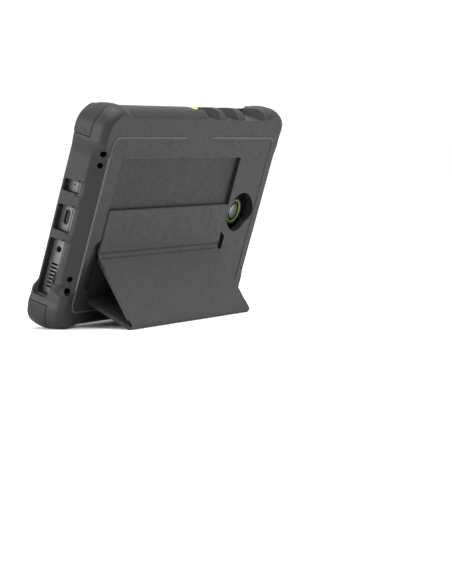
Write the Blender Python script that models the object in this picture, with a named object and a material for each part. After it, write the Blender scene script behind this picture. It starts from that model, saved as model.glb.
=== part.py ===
"""A survey data collector: an eight-inch rugged tablet in a moulded case, standing on the case's folding stand.

Everything is laid out in the case's own frame, in millimetres: x runs along the long side, towards the end
with the connectors; y points out of the back, with 0 on the flat of the case's back; z runs up the tablet, with
0 at mid height. The case_frame empty then leans that frame back, so that the lower corners and the foot of the
stand rest on the floor.
"""

import math

import bmesh
import bpy
from mathutils import Vector

MM = 0.001
GAP = 0.3  # clearance that touching pieces keep

# The case: a body with straight sides between four corners that bulge.
BODY_HALF_X, BODY_HALF_Z, BODY_CORNER = 113.5, 70.6, 14.0
CORNER_GROWTH = 3.0
CORNER_FROM_X, STRAIGHT_FROM_X = 97.5, 90.0  # along the long sides, the bulge rises between these
CORNER_FROM_Z, STRAIGHT_FROM_Z = 51.0, 42.0  # and along the end sides, between these
BUMPER_END_Z = {"upper": 51.4, "lower": 56.0}  # how far down the end sides each corner's bumper comes
CASE_FRONT, LIP_BACK, WALL_INNER = -25.5, -24.0, -4.6
RECESS_FLOOR = -2.2
RECESS_X, RECESS_Z = (-65.2, 91.6), (-53.3, 40.3)
NOTCH_REACH, NOTCH_Z, NOTCH_SLOPE = 8.5, (-48.0, -13.0), 4.0  # finger notches beside the recess
WINDOW_HALF_X, WINDOW_HALF_Z = 104.6, 62.0
REAR_EDGE_RADIUS = 6.0  # the corners' rounded rear edge, which is what rests on the floor

# How the body's sides run from the front to the back: (y, half x, half z, growth of the corners, half x at the
# camera's end, which has no sloping edge).
SIDE_LEVELS = (
    (CASE_FRONT, 112.8, 69.0, 1.6, 112.8),
    (-24.1, 114.3, 69.9, CORNER_GROWTH, 114.3),
    (-16.5, 113.85, 71.4, CORNER_GROWTH, 113.9),
    (-10.5, 113.4, 72.8, CORNER_GROWTH, 113.7),
    (-8.5, 113.3, 72.8, CORNER_GROWTH, 113.7),
    (-5.4, 110.7, 72.1, CORNER_GROWTH, 113.7),
    (-2.6, 108.4, 70.8, 2.3, 113.6),
    (-1.2, 107.2, 69.5, 1.24, 113.1),
    (0.0, 106.2, 67.8, -0.4, 111.8),
)

# The tablet.
TABLET_HALF_X, TABLET_HALF_Z, TABLET_CORNER = 108.75, 66.0, 9.0
TABLET_SHIFT = -1.5  # the tablet's own levels, which follow, are this much further from the case's back
TABLET_BACK, TABLET_FRONT = -12.0, -22.2
COVER_INNER, FRAME_BACK, FRAME_FRONT, GLASS_INNER = -13.3, -13.6, -20.9, -21.2
WEB_BACK, WEB_FRONT = -18.9, -19.4
FRAME_WALL = 3.0
PORT_Y = -17.0  # mid thickness, where the sockets and side keys are
USB_Z, JACK_Z, MICROPHONE_Z = -3.0, -24.5, 18.5
SPEAKER_Z, SPEAKER_SLOTS, SPEAKER_PITCH = -42.0, 7, 2.5
CAMERA_X, CAMERA_Z, CAMERA_RING = -95.5, -3.2, 10.25
SCREEN_HALF_X, SCREEN_HALF_Z = 86.2, 53.9
FRONT_KEY_X, FRONT_KEY_Z = 99.0, 26.0
SIDE_KEYS = {  # name: (x, length, how far it rises above its pivot)
    "function_key": (-14.0, 11.0, 5.2),
    "power_key": (-38.9, 11.0, 2.4),
    "volume_rocker": (-72.0, 22.0, 2.4),
}
SLOT_MARGIN = 2.2  # how much longer than its key each slot in the case is, at each end

# The stand, folded out: three stiff panels between hinge lines.
PANEL_X = (-64.5, 90.9)
PANEL_THICKNESS = 2.4
HINGE_OFFSET = 0.15  # from a hinge line to the faces that fold together on it
FOLD_HINGE = (-2.05, -52.9)  # (y, z) of the line where the strut leaves the recess
SPINE_HINGE = (0.65, -23.9)  # (y, z) of the line between the leg and the flap
STRUT_LENGTH, LEG_LENGTH, FLAP_LENGTH = 37.52, 49.03, 30.1  # between hinge lines; the flap to its edge
STRUT_START = 2.6  # from the fold's line to the strut's board, so that the board clears the case as it swings
SPINE_GAP = 1.85  # from the spine's line to the boards on each side of it
NOSE_RADIUS = HINGE_OFFSET + PANEL_THICKNESS  # the rounded foot, at the end of the strut
MAGNET_X, MAGNET_UP, MAGNET_RADIUS = (-37.0, 63.0), 20.0, 6.0

TABLET_SPACE = TABLET_BACK + TABLET_SHIFT + GAP  # how far back the case's room for the tablet goes

SIDES = {"port_end": 1, "camera_end": -1}
HEIGHTS = {"upper": 1, "lower": -1}
MATERIALS = {  # name: (colour, roughness, metallic)
    "case_rubber": ((0.075, 0.077, 0.081), 0.62, 0.0),
    "stand_leatherette": ((0.085, 0.089, 0.087), 0.7, 0.0),
    "pad_blue": ((0.36, 0.66, 0.9), 0.5, 0.0),
    "liner_grey": ((0.19, 0.19, 0.195), 0.7, 0.0),
    "plate_dark": ((0.06, 0.062, 0.066), 0.6, 0.0),
    "tablet_plastic": ((0.07, 0.072, 0.075), 0.5, 0.0),
    "glass": ((0.01, 0.01, 0.012), 0.08, 0.0),
    "accent_green": ((0.5, 0.62, 0.12), 0.45, 0.0),
    "steel": ((0.55, 0.55, 0.56), 0.35, 1.0),
    "board_green": ((0.02, 0.12, 0.06), 0.55, 0.0),
    "battery_wrap": ((0.03, 0.03, 0.033), 0.5, 0.0),
    "black_plastic": ((0.02, 0.02, 0.022), 0.5, 0.0),
}


# ---------------------------------------------------------------- outlines


def rounded_rectangle(half_x, half_z, radius, steps=4, centre=(0.0, 0.0)):
    """Counter-clockwise (x, z) points of a rectangle with round corners."""
    points = []
    for corner, (sign_x, sign_z) in enumerate(((1, 1), (-1, 1), (-1, -1), (1, -1))):
        for step in range(steps + 1):
            angle = math.radians(90 * (corner + step / steps))
            x = sign_x * (half_x - radius) + radius * math.cos(angle)
            z = sign_z * (half_z - radius) + radius * math.sin(angle)
            points.append((centre[0] + x, centre[1] + z))
    return points


def circle(radius, centre, steps=20):
    """Counter-clockwise (x, z) points of a circle."""
    angles = [2 * math.pi * step / steps for step in range(steps)]
    return [(centre[0] + radius * math.cos(a), centre[1] + radius * math.sin(a)) for a in angles]


def corner_path(growth, end_z=CORNER_FROM_Z, steps=5):
    """(x, z) points round the corner at +x, +z, from the long side to the end side, grown outwards."""
    radius = BODY_CORNER + growth
    points = [(CORNER_FROM_X, BODY_HALF_Z + growth)]
    for step in range(steps + 1):
        angle = math.radians(90 * (1 - step / steps))
        x = BODY_HALF_X - BODY_CORNER + radius * math.cos(angle)
        z = BODY_HALF_Z - BODY_CORNER + radius * math.sin(angle)
        points.append((x, z))
    points.append((BODY_HALF_X + growth, end_z))
    return points


def case_outline(half_x, half_z, growth, camera_half_x):
    """Counter-clockwise (x, z) points of the case at one level: bulging corners between straight sides."""
    quarter = [(0.0, half_z), (STRAIGHT_FROM_X, half_z), *corner_path(growth)]
    right = [(half_x, 0.0), (half_x, STRAIGHT_FROM_Z), *quarter[::-1]]
    left = [(-x, z) for x, z in quarter[1:]] + [(-camera_half_x, STRAIGHT_FROM_Z), (-camera_half_x, 0.0)]
    upper = right + left
    return upper + [(x, -z) for x, z in upper[-2:0:-1]]


def camera_opening():
    """Counter-clockwise (x, z) points of the eye-shaped opening that the rear camera looks through."""
    right, upper = [(-66.5, -3.0)], [(-82.0, 13.0), (-93.0, 13.4)]
    left, lower = [(-104.5, 3.5), (-105.0, -1.5)], [(-92.0, -14.2), (-82.0, -14.4)]
    return right + upper + left + lower


# ------------------------------------------------------------ mesh building


def loft(rings):
    """A closed bmesh through rings of (x, y, z) points, each ring with the same number of them."""
    mesh = bmesh.new()
    loops = [[mesh.verts.new(Vector(point) * MM) for point in ring] for ring in rings]
    count = len(loops[0])
    for lower, upper in zip(loops, loops[1:]):
        for i in range(count):
            j = (i + 1) % count
            mesh.faces.new((lower[i], lower[j], upper[j], upper[i]))
    mesh.faces.new(loops[0][::-1])
    mesh.faces.new(loops[-1])
    return facing_out(mesh)


def facing_out(mesh):
    """The bmesh, with its faces turned round if they point in."""
    if mesh.calc_volume(signed=True) < 0:
        bmesh.ops.reverse_faces(mesh, faces=mesh.faces)
    return mesh


def extrude_out(outline, back, front):
    """An (x, z) outline made solid between two y levels."""
    return loft([[(x, y, z) for x, z in outline] for y in (back, front)])


def extrude_across(profile, x_range):
    """A (y, z) profile made solid between two x places."""
    return loft([[(x, y, z) for y, z in profile] for x in x_range])


def box(x_range, y_range, z_range):
    profile = [(y_range[0], z_range[0]), (y_range[1], z_range[0]), (y_range[1], z_range[1]), (y_range[0], z_range[1])]
    return extrude_across(profile, x_range)


def centred_box(centre, size):
    ranges = [(middle - side / 2, middle + side / 2) for middle, side in zip(centre, size)]
    return box(*ranges)


def joined(parts):
    """Several bmeshes in one, as separate bodies."""
    whole = bmesh.new()
    for part in parts:
        mesh = bpy.data.meshes.new("part")
        part.to_mesh(mesh)
        part.free()
        whole.from_mesh(mesh)
        bpy.data.meshes.remove(mesh)
    return whole


def mirrored(mesh, sign_x, sign_z):
    """The bmesh reflected to another corner, with its faces still pointing out."""
    for vert in mesh.verts:
        vert.co.x *= sign_x
        vert.co.z *= sign_z
    return facing_out(mesh)


# ------------------------------------------------------- objects and cutting


def material_of(name):
    found = bpy.data.materials.get(name)
    if found:
        return found
    colour, roughness, metallic = MATERIALS[name]
    made = bpy.data.materials.new(name)
    made.use_nodes = True
    made.diffuse_color = (*colour, 1.0)
    shader = made.node_tree.nodes["Principled BSDF"]
    shader.inputs["Base Color"].default_value = (*colour, 1.0)
    shader.inputs["Roughness"].default_value = roughness
    shader.inputs["Metallic"].default_value = metallic
    return made


def add_object(name, mesh, material=None, parent=None):
    data = bpy.data.meshes.new(name)
    mesh.to_mesh(data)
    mesh.free()
    made = bpy.data.objects.new(name, data)
    bpy.context.scene.collection.objects.link(made)
    if material:
        data.materials.append(material_of(material))
        data.shade_smooth()
        data.set_sharp_from_angle(angle=math.radians(35))
    made.parent = parent
    return made


def cut(target, name, mesh):
    """Takes a shape out of an object that shares its parent."""
    cutter = add_object("cut_" + name, mesh, parent=target.parent)
    cutter.hide_render = True
    cutter.display_type = "WIRE"
    boolean = target.modifiers.new(name, "BOOLEAN")
    boolean.operation = "DIFFERENCE"
    boolean.solver = "EXACT"
    boolean.object = cutter


def add_empty(name, parent=None, place=(0.0, 0.0, 0.0), turn=0.0):
    """An empty at a place in its parent's millimetres, turned about x."""
    empty = bpy.data.objects.new(name, None)
    bpy.context.scene.collection.objects.link(empty)
    empty.empty_display_size = 0.02
    empty.parent = parent
    empty.location = Vector(place) * MM
    empty.rotation_euler = (turn, 0.0, 0.0)
    return empty


# ------------------------------------------------------------------ the case


def slot_profile():
    """(y, z) section of a key slot: open to the side keys, and out through the top and back edges."""
    floor, inside = 67.4, 65.5
    front, behind_key = -19.5 + TABLET_SHIFT, -12.8 + TABLET_SHIFT
    return [(front, inside), (behind_key, inside), (behind_key, floor), (1.0, floor), (1.0, 80.0), (front, 80.0)]


def port_opening(z_low, z_high, back=-11.4, front=-23.5):
    return box((105.0, 120.0), (front, back), (z_low, z_high))


def speaker_opening():
    """The jack's opening runs on past the loudspeaker, narrower there."""
    profile = [(-23.6, -53.6), (-14.4, -53.6), (-14.4, -42.0), (-11.6, -33.0), (-11.6, -18.0), (-23.6, -18.0)]
    return extrude_across(profile, (105.0, 120.0))


def strap_holes():
    """Two pairs of holes through the sloping edge of the port end, for a hand strap."""
    holes = []
    along = Vector((-0.76, -0.65, 0.0)).normalized()
    across = Vector((-along.y, along.x, 0))
    for z in (43.1, 35.4, -40.1, -47.8):
        rings = []
        for reach in (-6.0, 10.5):
            middle = Vector((111.0, -1.5, z)) + along * reach
            ring = []
            for step in range(10):
                angle = 2 * math.pi * (step + 0.3) / 10
                ring.append(middle + across * (1.8 * math.cos(angle)) + Vector((0, 0, 1.8 * math.sin(angle))))
            rings.append(ring)
        holes.append(loft(rings))
    return joined(holes)


def rib_pockets():
    """Hollows in the ledge under the tablet, which leave a row of ribs along every wall."""
    pockets = []
    width, pitch, depth, outer = 13.0, 16.0, (TABLET_SPACE - 0.3, -5.6), 1.6
    high = depth[1] - depth[0]
    for sign in (-1, 1):
        for i in range(-5, 6):
            inner, reach = 58.0, TABLET_HALF_Z + GAP - outer
            z_range = sorted((sign * inner, sign * reach))
            pockets.append(centred_box((i * pitch, sum(depth) / 2, sum(z_range) / 2), (width, high, reach - inner)))
        for i in range(-3, 4):
            inner, reach = 101.0, TABLET_HALF_X + GAP - outer
            x_range = sorted((sign * inner, sign * reach))
            pockets.append(centred_box((sum(x_range) / 2, sum(depth) / 2, i * pitch), (reach - inner, high, width)))
    return joined(pockets)


def recess_outline():
    """Counter-clockwise (x, z) points of the stand's recess, with a finger notch at each end."""
    (left, right), (bottom, top) = RECESS_X, RECESS_Z
    low, high = NOTCH_Z
    notch = [(0.0, low), (NOTCH_REACH, low + NOTCH_SLOPE), (NOTCH_REACH, high - NOTCH_SLOPE), (0.0, high)]
    points = [(right, bottom)] + [(right + x, z) for x, z in notch] + [(right, top), (left, top)]
    points += [(left - x, z) for x, z in reversed(notch)] + [(left, bottom)]
    return points


def corner_block(outer, inner, levels, end_z):
    """A solid that wraps one corner, between two outlines. levels gives (y, change of the outer growth)."""
    rings = []
    for y, change in levels:
        outside = corner_path(outer + change, end_z)
        inside = corner_path(inner, end_z)[::-1]
        rings.append([(x, y, z) for x, z in outside + inside])
    return loft(rings)


def add_case(frame):
    rings = [[(x, y, z) for x, z in case_outline(*sizes)] for y, *sizes in SIDE_LEVELS]
    body = loft(rings)
    bmesh.ops.triangulate(body, faces=body.faces)
    shell = add_object("case_shell", body, "case_rubber", frame)
    clear_x, clear_z = TABLET_HALF_X + 0.35, TABLET_HALF_Z + 0.35
    cavity = rounded_rectangle(clear_x, clear_z, TABLET_CORNER + GAP)
    cut(shell, "tablet_space", extrude_out(cavity, TABLET_SPACE, LIP_BACK))
    cut(shell, "window", extrude_out(rounded_rectangle(WINDOW_HALF_X, WINDOW_HALF_Z, 6.0), LIP_BACK + 1, -29.0))
    cut(shell, "floor_space", extrude_out(rounded_rectangle(103.0, 60.0, 6.0, 3), WALL_INNER, TABLET_SPACE - 0.4))
    cut(shell, "ribs", rib_pockets())
    cut(shell, "recess", extrude_out(recess_outline(), RECESS_FLOOR, 2.0))
    base = rounded_rectangle(75.3, 12.8, 2.0, 2, (13.2, -38.8))
    cut(shell, "base_pocket", extrude_out(base, RECESS_FLOOR + 0.5, -3.2))
    cut(shell, "camera_opening", extrude_out(camera_opening(), TABLET_SPACE - 0.2, 2.0))
    ring_room = circle(CAMERA_RING + 0.6, (CAMERA_X, CAMERA_Z), 26)
    cut(shell, "ring_room", extrude_out(ring_room, TABLET_SPACE - 0.1, -9.5))
    cut(shell, "microphone_opening", port_opening(14.0, 22.4))
    cut(shell, "usb_opening", port_opening(-11.3, 5.0))
    cut(shell, "jack_opening", speaker_opening())
    for name, (x, length, _) in SIDE_KEYS.items():
        reach = length / 2 + SLOT_MARGIN
        cut(shell, name + "_slot", extrude_across(slot_profile(), (x - reach, x + reach)))
    cut(shell, "strap_holes", strap_holes())
    for height, sign_z in HEIGHTS.items():
        for side, sign_x in SIDES.items():
            block = corner_block(9.0, -0.2, ((-30.0, 0.0), (-11.3, 0.0)), BUMPER_END_Z[height])
            cut(shell, f"{height}_{side}_seat", mirrored(block, sign_x, sign_z))


def add_corner_bumpers(frame):
    for height, sign_z in HEIGHTS.items():
        for side, sign_x in SIDES.items():
            levels = ((-26.1, -1.4), (-24.7, 0.0), (-11.6, 0.0))
            block = corner_block(CORNER_GROWTH, 0.1, levels, BUMPER_END_Z[height] + GAP)
            # The seat starts at the same x, so the bumper is trimmed to keep clear of it.
            for vert in block.verts:
                if abs(vert.co.x - CORNER_FROM_X * MM) < 1e-6:
                    vert.co.x += GAP * MM
            add_object(f"corner_bumper_{height}_{side}", mirrored(block, sign_x, sign_z), "case_rubber", frame)


def add_impact_pads(frame):
    chevron = ((-17.0, -3.0), (-11.0, -11.5), (9.0, -10.0), (17.0, -2.0), (14.0, 9.0), (2.0, 6.0), (-12.0, 11.0))
    for height, sign_z in HEIGHTS.items():
        for side, sign_x in SIDES.items():
            pad = extrude_out(chevron, -4.9, TABLET_SPACE)
            mirrored(pad, sign_x, -sign_z)
            bmesh.ops.translate(pad, vec=Vector((sign_x * 73.0, 0.0, sign_z * 33.0)) * MM, verts=pad.verts)
            add_object(f"impact_pad_{height}_{side}", pad, "pad_blue", frame)


def add_case_floor(frame):
    """What lies on the inside of the back wall: the steel that the magnets hold to, and its cover plates."""
    layers = (  # name, material, half x, half z, corner, y range, centre
        ("keeper_plate", "steel", 53.0, 9.5, 2.0, (-5.7, -4.9), (0.0, -5.5)),
        ("case_liner", "liner_grey", 53.0, 54.0, 20.0, (-6.6, -6.0), (0.0, 0.0)),
        ("centre_plate", "plate_dark", 49.0, 46.0, 30.0, (-7.8, -6.9), (0.0, 0.0)),
        ("label_plate", "liner_grey", 31.0, 23.0, 3.0, (-8.4, -8.1), (0.0, 0.0)),
    )
    for name, material, half_x, half_z, corner, y_range, centre in layers:
        outline = rounded_rectangle(half_x, half_z, corner, 4, centre)
        add_object(name, extrude_out(outline, *y_range), material, frame)


# ----------------------------------------------------------------- the stand


def foot_place():
    """(y, z) of the foot's hinge line: where circles about the fold and the spine cross, on the outer side."""
    fold, spine = Vector(FOLD_HINGE), Vector(SPINE_HINGE)
    between = spine - fold
    along = (STRUT_LENGTH**2 - LEG_LENGTH**2 + between.length**2) / (2 * between.length)
    out = math.sqrt(STRUT_LENGTH**2 - along**2)
    unit = between.normalized()
    return fold + unit * along + Vector((unit.y, -unit.x)) * out


def lean_angle(foot):
    """The lean at which a floor touches both the corners' rear edge and the foot's nose."""
    rest = Vector((-REAR_EDGE_RADIUS + 0.6, -(BODY_HALF_Z + CORNER_GROWTH - REAR_EDGE_RADIUS)))
    reach = foot - rest
    return math.atan2(reach.y, reach.x) + math.asin((REAR_EDGE_RADIUS - NOSE_RADIUS) / reach.length)


def stand_angles(foot):
    """Each panel's turn about its own hinge, from lying flat in line with the one before it."""
    fold, spine = Vector(FOLD_HINGE), Vector(SPINE_HINGE)
    strut = foot - fold
    strut_turn = math.atan2(strut.y, strut.x) - math.pi / 2
    leg = spine - foot
    rise = HINGE_OFFSET * 2 + PANEL_THICKNESS
    leg_turn = math.atan2(leg.y, leg.x) - math.atan2(leg_run(), rise)
    return strut_turn, leg_turn - strut_turn, -leg_turn


def leg_run():
    """How far along the leg its spine hinge is, which stands off the leg's hinge line by its thickness."""
    return math.sqrt(LEG_LENGTH**2 - (HINGE_OFFSET * 2 + PANEL_THICKNESS) ** 2)


def add_stand(frame, foot):
    strut_turn, leg_turn, flap_turn = stand_angles(foot)
    inner, outer = HINGE_OFFSET, NOSE_RADIUS

    base = rounded_rectangle(75.0, 12.5, 2.0, 2, (13.2, -38.8))
    add_object("stand_base", extrude_out(base, -2.9, -2.35), "stand_leatherette", frame)

    strut_hinge = add_empty("strut_hinge", frame, (0.0, *FOLD_HINGE), strut_turn)
    nose = []
    for step in range(7):
        angle = math.radians(86.6 * step / 6)
        nose.append((NOSE_RADIUS * math.cos(angle), STRUT_LENGTH + NOSE_RADIUS * math.sin(angle)))
    profile = [(inner, STRUT_START), (outer, STRUT_START), *nose]
    add_object("stand_strut", extrude_across(profile, PANEL_X), "stand_leatherette", strut_hinge)

    foot_hinge = add_empty("foot_hinge", strut_hinge, (0.0, 0.0, STRUT_LENGTH), leg_turn)
    leg = box(PANEL_X, (inner, outer), (NOSE_RADIUS + 0.35, leg_run() - SPINE_GAP))
    add_object("stand_leg", leg, "stand_leatherette", foot_hinge)

    spine_place = (0.0, 2 * inner + PANEL_THICKNESS, leg_run())
    spine_hinge = add_empty("spine_hinge", foot_hinge, spine_place, flap_turn)
    half = (PANEL_X[1] - PANEL_X[0]) / 2
    centre = (sum(PANEL_X) / 2, (FLAP_LENGTH + SPINE_GAP) / 2)
    outline = rounded_rectangle(half, (FLAP_LENGTH - SPINE_GAP) / 2, 1.0, 2, centre)
    flap = add_object("stand_flap", extrude_out(outline, -outer, -inner), "stand_leatherette", spine_hinge)
    for number, x in enumerate(MAGNET_X, 1):
        place = (x, MAGNET_UP)
        pocket = extrude_out(circle(MAGNET_RADIUS + GAP, place, 16), -outer - 1, -outer + 1.5)
        cut(flap, f"magnet_pocket_{number}", pocket)
        magnet = extrude_out(circle(MAGNET_RADIUS, place, 16), -outer, -outer + 1.2)
        add_object(f"flap_magnet_{number}", magnet, "steel", spine_hinge)


# ---------------------------------------------------------------- the tablet


def add_tablet_shell(frame):
    outline = rounded_rectangle(TABLET_HALF_X, TABLET_HALF_Z, TABLET_CORNER, 4)
    camera = (CAMERA_X, CAMERA_Z)
    cover = add_object("tablet_back_cover", extrude_out(outline, TABLET_BACK, COVER_INNER), "tablet_plastic", frame)
    cut(cover, "camera_ring_hole", extrude_out(circle(CAMERA_RING + GAP, camera, 28), -15.0, -11.0))
    cut(cover, "flash_hole", extrude_out(circle(2.3, (CAMERA_X + 16.0, CAMERA_Z), 12), -15.0, -11.0))

    body = add_object("tablet_frame", extrude_out(outline, FRAME_BACK, FRAME_FRONT), "tablet_plastic", frame)
    inside = rounded_rectangle(TABLET_HALF_X - FRAME_WALL, TABLET_HALF_Z - FRAME_WALL, 6.0, 3)
    cut(body, "back_space", extrude_out(inside, FRAME_BACK + 1, WEB_BACK))
    cut(body, "front_space", extrude_out(inside, WEB_FRONT, FRAME_FRONT - 1))
    wall = (TABLET_HALF_X - 1.5, 8.0)
    through = (wall[0] - wall[1] / 2, wall[0] + wall[1] / 2)
    cut(body, "usb_hole", extrude_across(usb_outline(1.9, 4.85), through))
    cut(body, "jack_hole", extrude_across(circle(1.85, (PORT_Y, JACK_Z)), through))
    cut(body, "microphone_hole", extrude_across(circle(0.5, (PORT_Y, MICROPHONE_Z), 10), through))
    slots = []
    for i in range(SPEAKER_SLOTS):
        z = SPEAKER_Z + (i - (SPEAKER_SLOTS - 1) / 2) * SPEAKER_PITCH
        slots.append(centred_box((wall[0], PORT_Y, z), (wall[1], 3.4, 1.1)))
    cut(body, "speaker_slots", joined(slots))
    for name, (x, length, _) in SIDE_KEYS.items():
        hole = centred_box((x, PORT_Y, TABLET_HALF_Z - 1.5), (length + 0.8, 3.7, 8.0))
        cut(body, name + "_hole", hole)

    edge = rounded_rectangle(TABLET_HALF_X - 0.4, TABLET_HALF_Z - 0.4, TABLET_CORNER - 0.4, 4)
    glass = add_object("front_glass", extrude_out(edge, GLASS_INNER, TABLET_FRONT), "glass", frame)
    for name, (z, half_x, half_z) in front_keys().items():
        hole = rounded_rectangle(half_x + 0.35, half_z + 0.35, half_x + 0.3, 4, (FRONT_KEY_X, z))
        cut(glass, name + "_hole", extrude_out(hole, -20.0, -24.0))


def usb_outline(half_y, half_z):
    """(y, z) points of the USB socket's outline, with its round ends."""
    return rounded_rectangle(half_y, half_z, half_y - 0.05, 4, (PORT_Y, USB_Z))


def front_keys():
    """The keys beside the screen: name to (z, half x, half z)."""
    return {
        "home_key": (0.0, 3.4, 7.0),
        "recents_key": (FRONT_KEY_Z, 2.6, 4.6),
        "back_key": (-FRONT_KEY_Z, 2.6, 4.6),
    }


def add_keys(frame):
    for name, (z, half_x, half_z) in front_keys().items():
        pivot = add_empty(name + "_travel", frame, (FRONT_KEY_X, TABLET_FRONT, z))
        outline = rounded_rectangle(half_x, half_z, half_x - 0.05, 4)
        add_object(name, extrude_out(outline, -0.3, 1.3), "black_plastic", pivot)
    for name, (x, length, rise) in SIDE_KEYS.items():
        pivot = add_empty(name + "_travel", frame, (x, PORT_Y, TABLET_HALF_Z - 1.5))
        colour = "accent_green" if name == "function_key" else "tablet_plastic"
        outline = rounded_rectangle(length / 2, 1.55, 1.4, 3)
        rings = [[(u, v, w) for u, v in outline] for w in (-1.4, rise)]
        add_object(name, loft(rings), colour, pivot)


def add_display(frame):
    screen = rounded_rectangle(SCREEN_HALF_X + 2.0, SCREEN_HALF_Z + 2.5, 1.5, 2, (-1.5, 0.0))
    add_object("display_panel", extrude_out(screen, -19.7, -20.8), "black_plastic", frame)
    front = circle(2.2, (-98.0, 18.0), 12)
    add_object("front_camera", extrude_out(front, -19.7, -20.8), "black_plastic", frame)


def add_electronics(frame):
    add_object("battery", box((-30.0, 76.0), (-17.9, -14.1), (-34.0, 34.0)), "battery_wrap", frame)
    board = add_object("main_board", box((-86.0, -33.0), (-17.9, -16.9), (-58.0, 58.0)), "board_green", frame)
    spots = [(x, z) for x in (-81.0, -38.0) for z in (-52.0, 52.0)]
    for number, spot in enumerate(spots, 1):
        cut(board, f"screw_hole_{number}", extrude_out(circle(1.2, spot, 10), -19.0, -16.0))
        shank = [(x, y, z) for y in (-18.6, -16.6) for x, z in circle(0.8, spot, 10)]
        head = [(x, y, z) for y in (-16.6, -15.8) for x, z in circle(1.5, spot, 10)]
        rings = [shank[:10], shank[10:], head[:10], head[10:]]
        add_object(f"board_screw_{number}", loft(rings), "steel", frame)
    add_object("connector_board", box((79.0, 88.0), (-17.9, -16.9), (-50.0, 24.0)), "board_green", frame)
    gasket = rounded_rectangle(105.3, 62.5, 5.6, 3)
    ring = add_object("cover_gasket", extrude_out(gasket, -13.7, -14.2), "black_plastic", frame)
    cut(ring, "gasket_middle", extrude_out(rounded_rectangle(104.1, 61.3, 4.4, 3), -12.0, -16.0))

    socket = add_object("usb_socket", extrude_across(usb_outline(1.6, 4.5), (101.8, 108.6)), "steel", frame)
    cut(socket, "usb_mouth", extrude_across(usb_outline(1.28, 4.18), (103.0, 111.0)))
    tongue = centred_box((105.75, PORT_Y, USB_Z), (4.5, 0.7, 6.6))
    add_object("usb_tongue", tongue, "black_plastic", frame)
    jack = add_object("audio_jack", box((93.4, 105.4), (-18.8, -14.6), (-27.6, -21.4)), "black_plastic", frame)
    cut(jack, "jack_bore", extrude_across(circle(1.75, (PORT_Y, JACK_Z)), (95.0, 107.0)))
    speaker = box((90.0, 104.6), (-18.6, -14.9), (-53.0, -31.0))
    add_object("loudspeaker", speaker, "black_plastic", frame)
    microphone = centred_box((102.4, PORT_Y, MICROPHONE_Z), (4.0, 2.0, 3.0))
    add_object("microphone", microphone, "steel", frame)
    motor = extrude_out(circle(4.0, (92.0, 46.0), 14), -17.9, -15.2)
    add_object("vibration_motor", motor, "steel", frame)


def add_rear_camera(frame):
    camera = (CAMERA_X, CAMERA_Z)
    module = centred_box((CAMERA_X, -14.9, CAMERA_Z), (9.0, 6.0, 9.0))
    add_object("rear_camera", module, "black_plastic", frame)
    round_the_lens = extrude_out(circle(CAMERA_RING, camera, 28), -13.2, -8.5)
    ring = add_object("camera_ring", round_the_lens, "accent_green", frame)
    cut(ring, "ring_bore", extrude_out(circle(7.5, camera, 28), -14.0, -7.5))
    window = extrude_out(circle(7.1, camera, 24), -9.9, -9.1)
    add_object("camera_window", window, "glass", frame)
    lens = extrude_out(circle(1.9, (CAMERA_X + 16.0, CAMERA_Z), 12), -13.5, -12.1)
    add_object("flash_lens", lens, "glass", frame)


# -------------------------------------------------------------- the assembly


def stand_on_floor(frame):
    """Puts the lowest point at z 0 and the middle of the whole object's box over the origin."""
    bpy.context.view_layer.update()
    graph = bpy.context.evaluated_depsgraph_get()
    points = []
    for item in bpy.context.scene.objects:
        if item.type != "MESH" or item.hide_render:
            continue
        evaluated = item.evaluated_get(graph)
        points += [evaluated.matrix_world @ vert.co for vert in evaluated.data.vertices]
    low = [min(point[axis] for point in points) for axis in range(3)]
    high = [max(point[axis] for point in points) for axis in range(3)]
    frame.location -= Vector(((low[0] + high[0]) / 2, (low[1] + high[1]) / 2, low[2]))


def clear_scene():
    for item in list(bpy.data.objects):
        bpy.data.objects.remove(item, do_unlink=True)


def main():
    clear_scene()
    foot = foot_place()
    frame = add_empty("case_frame", turn=-lean_angle(foot))
    add_case(frame)
    add_corner_bumpers(frame)
    add_impact_pads(frame)
    add_case_floor(frame)
    add_stand(frame, foot)
    tablet = add_empty("tablet_place", frame, (0.0, TABLET_SHIFT, 0.0))
    add_tablet_shell(tablet)
    add_display(tablet)
    add_electronics(tablet)
    add_rear_camera(tablet)
    add_keys(tablet)
    stand_on_floor(frame)


main()
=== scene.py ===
"""The looks of the data collector: a rugged tablet in a moulded case that stands on its own folding stand.

Shapes are made in the case's own frame, in millimetres: x along the long side towards the connectors,
y out of the back, z up the tablet. CASE turns that frame into the shared one. The stand's panels have
frames of their own, each hung from the one before.
"""

import math

import bmesh
import bpy
from mathutils import Matrix, Vector
from mathutils.geometry import interpolate_bezier


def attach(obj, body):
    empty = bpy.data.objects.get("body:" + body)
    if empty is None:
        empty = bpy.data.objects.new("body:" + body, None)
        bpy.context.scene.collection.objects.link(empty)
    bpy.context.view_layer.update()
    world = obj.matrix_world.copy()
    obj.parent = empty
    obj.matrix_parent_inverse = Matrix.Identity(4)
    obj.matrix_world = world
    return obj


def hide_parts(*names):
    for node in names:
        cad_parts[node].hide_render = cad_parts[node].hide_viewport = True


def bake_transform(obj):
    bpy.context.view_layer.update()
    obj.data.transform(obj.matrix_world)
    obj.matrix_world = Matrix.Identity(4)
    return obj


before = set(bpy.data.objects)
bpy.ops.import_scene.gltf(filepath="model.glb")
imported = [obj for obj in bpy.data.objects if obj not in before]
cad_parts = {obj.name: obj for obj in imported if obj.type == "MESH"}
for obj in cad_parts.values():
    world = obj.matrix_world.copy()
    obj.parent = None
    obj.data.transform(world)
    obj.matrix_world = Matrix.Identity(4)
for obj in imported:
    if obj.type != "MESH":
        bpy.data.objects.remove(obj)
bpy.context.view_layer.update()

MM = 0.001
LEAN = math.radians(-16.94895)
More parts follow.
